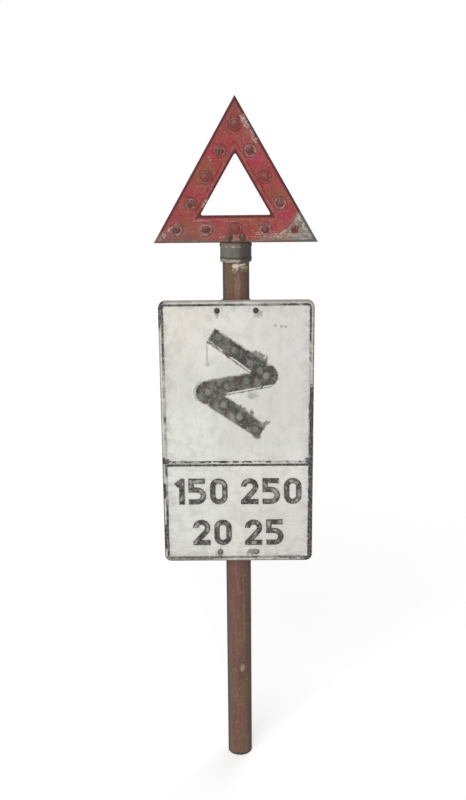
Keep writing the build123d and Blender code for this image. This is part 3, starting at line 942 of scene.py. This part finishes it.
# %% Glass buttons and rolled rims
button_rise = 1.8
button_edge = 0.5
button_steps = 32
rim_radius = 12.1
rim_wire = 1.0


def glass_button(node, material, body, slot):
    """A domed button in the place of a lens node. Gives the middle of its face's rim."""
    low, high = box_of(node)
    radius, depth = (high.x - low.x) / 2, high.y - low.y
    face = dome(radius - button_edge, button_rise - button_edge, 8)
    points = [(out, height + button_edge) for out, height in face]
    points += [(radius, 0), (radius, button_rise - depth), (0, button_rise - depth)]
    shape = bmesh.new()
    verts = turn_round(shape, profile(shape, points), button_steps)
    place = Vector(((low.x + high.x) / 2, low.y + button_rise, (low.z + high.z) / 2))
    face_front(shape, verts, place)
    add_piece(node.replace("lens", "glass"), shape, material, body, slot, node)
    return place


def rolled_rims(name, places, material, body):
    """One round wire bent to a ring at each place, all in one piece."""
    shape = bmesh.new()
    upright = Matrix.Translation((rim_radius, 0, 0)) @ Matrix.Rotation(pi / 2, 4, "X")
    for place in places:
        wire = bmesh.ops.create_circle(shape, segments=10, radius=rim_wire, matrix=upright)["verts"]
        edges = list({edge for vertex in wire for edge in vertex.link_edges})
        face_front(shape, turn_round(shape, wire + edges, button_steps), place)
    return add_piece(name, shape, material, body, "cup_metal")


triangle_places = [glass_button(name, triangle_glass, "finial", "triangle_glass") for name in bar_names]
symbol_places = [glass_button(name, symbol_glass, "plate", "symbol_glass") for name in arm_names]
for rims in (rolled_rims("triangle_lens_rims", triangle_places, triangle_rims, "finial"),
             rolled_rims("symbol_lens_rims", symbol_places, symbol_rims, "plate")):
    print(rims.name, "with", len(rims.data.polygons), "faces")

# %% [markdown]
# ## Nuts, bolts and screws
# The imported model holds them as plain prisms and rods. A real nut is turned to chamfered rims before
# its flats are milled, which is why its corners end in curves. The same two steps make it here: a
# spin, then one cut and one new face for each flat. The thread could be a spiral, but a row of turned
# grooves closes by itself and looks the same at this size.

# %% Turned nuts and bolts
bolt_radius = 4.76
thread_pitch = 1.6
thread_depth = 0.8
thread_length = 22.0
tip_length = 1.5
tip_taper = 1.2
nut_flats = 18.0
nut_bore = 4.36
chamfer_angle = radians(30)
chamfer_inset = 0.3
corner_spare = 0.1
hexagon_head = 6.0
dome_head = Vector((8.0, 5.5))
dome_edge = 1.5
tongue_spacing = 37.0
clip_spacing = 110.0
head_steps, milled_steps, rod_steps = 32, 48, 24


def milled(shape, sides, flats, bottom, top, bore=0.0):
    """Turn a body with chamfered rims on the Z axis, then mill that many flats on it."""
    before = set(shape.verts)
    corner = flats / 2 / cos(pi / sides) + corner_spare
    rim = flats / 2 - chamfer_inset
    drop = (corner - rim) * tan(chamfer_angle)
    points = [(bore, bottom), (rim, bottom), (corner, bottom + drop)]
    points += [(corner, top - drop), (rim, top), (bore, top)]
    turned = turn_round(shape, profile(shape, points + points[:1] if bore else points), milled_steps)
    bmesh.ops.remove_doubles(shape, verts=turned, dist=weld_distance)
    for count in range(sides):
        angle = 2 * pi * (count + 0.5) / sides
        edges = trim(shape, before, Vector((cos(angle), sin(angle), 0)), flats / 2)
        bmesh.ops.holes_fill(shape, edges=edges)
    return made_since(shape, before)


def threaded_rod(length):
    """Points of (radius, height) down a rod from the origin, with grooves at its end and a blunt tip."""
    points = [(bolt_radius, 0.0), (bolt_radius, thread_length - length)]
    grooves = int((thread_length - tip_length) / thread_pitch)
    for count in range(grooves):
        height = thread_length - length - count * thread_pitch
        points.append((bolt_radius - thread_depth, height - thread_pitch * 0.5))
        points.append((bolt_radius, height - thread_pitch))
    return points + [(bolt_radius - tip_taper, -length), (0.0, -length)]


def hexagon_bolt(shape, length):
    """A rod under a milled hexagon head, with the underside of the head at the origin."""
    head = milled(shape, 6, nut_flats, 0.0, hexagon_head)
    return head + turn_round(shape, profile(shape, [(0.0, 0.0)] + threaded_rod(length)), rod_steps)


def domed_bolt(shape, length):
    """A rod and a domed head in one turning."""
    crown = [(out, rise + dome_edge) for out, rise in dome(dome_head.x, dome_head.y - dome_edge, 8)]
    points = crown + [(dome_head.x, 0.0)] + threaded_rod(length)
    return turn_round(shape, profile(shape, points), head_steps)


def fasten(place, kind, head, spacing, body, material):
    """Turned bolts and nuts where the plain ones of that place are, half a spacing to each side."""
    bolts, nuts = bmesh.new(), bmesh.new()
    bolt_low, bolt_high = box_of(f"{place}_bolts")
    nut_low, nut_high = box_of(f"{place}_nuts")
    height = (nut_low.z + nut_high.z) / 2
    for x in (-spacing / 2, spacing / 2):
        seat = bolt_low.y + head
        face_front(bolts, kind(bolts, bolt_high.y - seat), Vector((x, seat, height)))
        nut = milled(nuts, 6, nut_flats, 0.0, nut_high.y - nut_low.y, nut_bore)
        face_front(nuts, nut, Vector((x, nut_high.y, height)))
    made = [add_piece(f"{place}_turned_bolts", bolts, material, body, "bolt_steel", f"{place}_bolts"),
            add_piece(f"{place}_turned_nuts", nuts, bolt_steel, body, "bolt_steel", f"{place}_nuts")]
    print(*(f"{piece.name}: {len(piece.data.polygons)} faces" for piece in made))


fasten("triangle", hexagon_bolt, hexagon_head, tongue_spacing, "finial", reddened_steel)
fasten("upper_clip", domed_bolt, dome_head.y, clip_spacing, "plate", dark_steel)
fasten("lower_clip", domed_bolt, dome_head.y, clip_spacing, "plate", painted_steel)

# %% Square set screws
screw_radius = 4.0
screw_flats = 10.0
screw_head = 7.0
screw_neck = 3.0
screw_height = 1630.0
screw_angles = (50, 130)
socket_radius = 44.5
post_radius = 38.1
screw_tip = post_radius - socket_radius

screws = bmesh.new()
for angle in screw_angles:
    head = milled(screws, 4, screw_flats, screw_neck, screw_neck + screw_head)
    shank = [(0.0, screw_neck), (screw_radius, screw_neck), (screw_radius, screw_tip), (0.0, screw_tip)]
    shank = turn_round(screws, profile(screws, shank), rod_steps)
    bmesh.ops.rotate(screws, verts=head, cent=(0, 0, 0), matrix=Matrix.Rotation(pi / 4, 3, "Z"))
    face_front(screws, head + shank, Vector((0, -socket_radius, screw_height)))
    around = Matrix.Rotation(radians(angle + 90), 3, "Z")
    bmesh.ops.rotate(screws, verts=head + shank, cent=(0, 0, 0), matrix=around)
piece = add_piece("socket_square_screws", screws, bolt_steel, "finial", "bolt_steel", "socket_set_screws")
print(piece.name, "with", len(piece.data.polygons), "faces")

# %% [markdown]
# ## The numerals
# The lower panel carries two rows of raised numerals, cast with the plate and painted black. Text
# could be made from a font, but a font brings its own style. Signwriters drew such figures with one
# broad stroke, so here a pen does: a short row of vertices is pushed along straight lines and spun
# round bends, and leaves a flat ribbon behind it. A corner puts the row on the line that halves the
# turn. The ribbon then gets its thickness, and its front edges are rounded as a casting's are.

# %% A broad pen
pen_width = 16.0
nib_spots = (-1, -0.4, 0.4, 1)
degrees_per_step = 9


class Pen:
    """Draws a flat ribbon in the XZ plane, from a start and a heading in degrees above the X axis."""

    def __init__(self, shape, start, heading):
        self.shape = shape
        self.spot = Vector(start)
        self.heading = heading
        self.nib = [shape.verts.new() for _ in nib_spots]
        for pair in zip(self.nib, self.nib[1:]):
            shape.edges.new(pair)
        stroke_edge = shape.verts.layers.float["stroke_edge"]
        for vertex, along in zip(self.nib, nib_spots):
            vertex[stroke_edge] = abs(along)
        self.lay_nib(self.left())

    def ahead(self):
        return Vector((cos(radians(self.heading)), sin(radians(self.heading))))

    def left(self):
        return self.ahead().orthogonal()

    def lay_nib(self, across):
        """Spread the nib's vertices over the pen's spot, along a direction."""
        for vertex, along in zip(self.nib, nib_spots):
            flat = self.spot + across * (along * pen_width / 2)
            vertex.co = (flat.x, 0, flat.y)

    def nib_edges(self):
        return [self.shape.edges.get(pair) for pair in zip(self.nib, self.nib[1:])]

    def take_nib(self, geometry):
        """Go on with the vertices that a push or a bend has just made, in their order across."""
        left = self.left()
        verts = [part for part in geometry if isinstance(part, bmesh.types.BMVert)]
        self.nib = sorted(verts, key=lambda vertex: left.dot(vertex.co.xz))

    def line(self, length):
        """Draw straight ahead."""
        self.take_nib(bmesh.ops.extrude_edge_only(self.shape, edges=self.nib_edges())["geom"])
        self.spot = self.spot + self.ahead() * length
        self.lay_nib(self.left())

    def bend(self, turn, radius):
        """Draw an arc that turns by degrees, to the left if more than nought."""
        side = 1 if turn > 0 else -1
        centre = self.spot + self.left() * (side * radius)
        bent = bmesh.ops.spin(
            self.shape, geom=self.nib + self.nib_edges(), cent=(centre.x, 0, centre.y), axis=(0, -1, 0),
            dvec=(0, 0, 0), angle=radians(turn), steps=round(abs(turn) / degrees_per_step),
            use_merge=False, use_duplicate=False)
        self.heading += turn
        self.spot = centre - self.left() * (side * radius)
        self.take_nib(bent["geom_last"])

    def corner(self, turn):
        """Turn on the spot, with a sharp corner."""
        before = self.left()
        self.heading += turn
        self.lay_nib((before + self.left()) / (1 + before.dot(self.left())))


print("pen", pen_width, "mm broad, a step for every", degrees_per_step, "degrees of a bend")

# %% Figures
figure_height = 82.0
figure_width = 52.0
half_pen = pen_width / 2
pen_across = figure_width - pen_width
pen_up = figure_height - pen_width


def nought(shape, x, z):
    bend = pen_across / 2
    pen = Pen(shape, (x + half_pen + pen_across, z + half_pen + bend), 90)
    for _ in range(2):
        pen.line(pen_up - pen_across)
        pen.bend(180, bend)
    return figure_width


def one(shape, x, z):
    flag = Vector((17.0, 14.0))
    slope = degrees(atan2(flag.y, flag.x))
    start = Vector((x + half_pen * sin(radians(slope)), z + half_pen + pen_up - flag.y))
    pen = Pen(shape, start, slope)
    pen.line(flag.length)
    pen.corner(-90 - slope)
    pen.line(half_pen + pen_up)
    return start.x - x + flag.x + half_pen


def two(shape, x, z):
    bend = pen_across / 2
    centre = Vector((x + half_pen + bend, z + half_pen + pen_up - bend))
    foot = Vector((x + half_pen, z + half_pen))
    reach = (centre - foot).length
    slope = degrees(atan2(centre.y - foot.y, centre.x - foot.x) - asin(bend / reach))
    pen = Pen(shape, centre - Vector((bend, 0)), 90)
    pen.bend(-(270 - slope), bend)
    pen.line(sqrt(reach ** 2 - bend ** 2))
    pen.corner(180 - slope)
    pen.line(pen_across + half_pen)
    return figure_width


def five(shape, x, z):
    bowl = 19.0
    flag_inset = 3.0
    pen = Pen(shape, (x + figure_width - flag_inset, z + half_pen + pen_up), 180)
    pen.line(pen_across + half_pen - flag_inset)
    pen.corner(90)
    pen.line(pen_up - 2 * bowl)
    pen.corner(90)
    pen.line(pen_across - bowl)
    pen.bend(-180, bowl)
    pen.line(pen_across - bowl + half_pen)
    return figure_width


figures = {"0": nought, "1": one, "2": two, "5": five}
print("figures", *figures, "each", figure_width, "by", figure_height, "mm at most")

# %% Raised rows
figure_gap = 12.0
space = 40.0
rows = {"150 250": 878.0, "20 25": 746.0}
figure_rise = 3.0
figure_sink = 0.2
figure_round = 1.2
brim_angle = 1.0


def write_row(shape, text, z):
    """Draw a row of figures from the left of the panel's middle line, then move it to be centred."""
    row_start = set(shape.verts)
    x = 0.0
    for mark in text:
        if mark == " ":
            x += space - figure_gap
            continue
        before = set(shape.verts)
        wide = figures[mark](shape, x, z)
        trim(shape, before, Vector((-1, 0, 0)), -x)
        trim(shape, before, Vector((0, 0, 1)), z + figure_height)
        x += wide + figure_gap
    width = x - figure_gap
    bmesh.ops.translate(shape, verts=made_since(shape, row_start), vec=(-width / 2, 0, 0))
    print("row", text, "is", round(width), "mm wide")


numerals = bmesh.new()
numerals.verts.layers.float.new("stroke_edge")
for text, height in rows.items():
    write_row(numerals, text, height)
bmesh.ops.remove_doubles(numerals, verts=numerals.verts, dist=weld_distance)
front = bmesh.ops.extrude_face_region(numerals, geom=numerals.faces[:])["geom"]
front = {part for part in front if isinstance(part, bmesh.types.BMVert)}
bmesh.ops.translate(numerals, verts=list(front), vec=(0, -figure_rise - figure_sink, 0))
bmesh.ops.recalc_face_normals(numerals, faces=numerals.faces)
brims = [edge for edge in numerals.edges
         if front.issuperset(edge.verts) and edge.calc_face_angle(0) > brim_angle]
bmesh.ops.bevel(numerals, geom=brims, offset=figure_round, offset_type="OFFSET", segments=3, profile=0.5,
                affect="EDGES", material=-1, clamp_overlap=True)
bmesh.ops.translate(numerals, verts=numerals.verts, vec=(0, panel_face + figure_sink, 0))

# %% [markdown]
# The black of the numerals is thin on their fronts and whole on their flanks, where nothing rubs. The
# pen left a number on every vertex, nought at the middle of the stroke and one at its edge, and the
# finish reads it to paint a pale highlight along each stroke, inside dark outlines, with rubbed specks.

# %% Numeral black
def numeral_black():
    coat = Finish("numeral_black")
    edge = coat.node("Attribute", {}, "Fac", attribute_name="stroke_edge")
    grain = coat.grain(5, 19)
    # painted highlight: a pale line inside each stroke's edges, broken in spots, joined with rubbed specks
    streak = (edge + coat.ragged(9, 29) * 0.5).band(0.4, 0.3)
    rubbed = streak * coat.spots(20, 0.35, 39, soft=0.08) | coat.spots(9, 0.1, 49, detail=2.0)
    colour = coat.layers(
        (64, 62, 59),
        (coat.spots(9, 0.4, 14), (96, 94, 90)),
        (rubbed * 0.75, (176, 174, 168)))
    return coat.apply(colour, 0.5 + grain * 0.3, grain * 0.6 - rubbed * 0.6, depth=0.4)


piece = add_piece("panel_numerals", numerals, numeral_black(), "plate", "plate_paint")
print(piece.name, "with", len(piece.data.polygons), "faces")
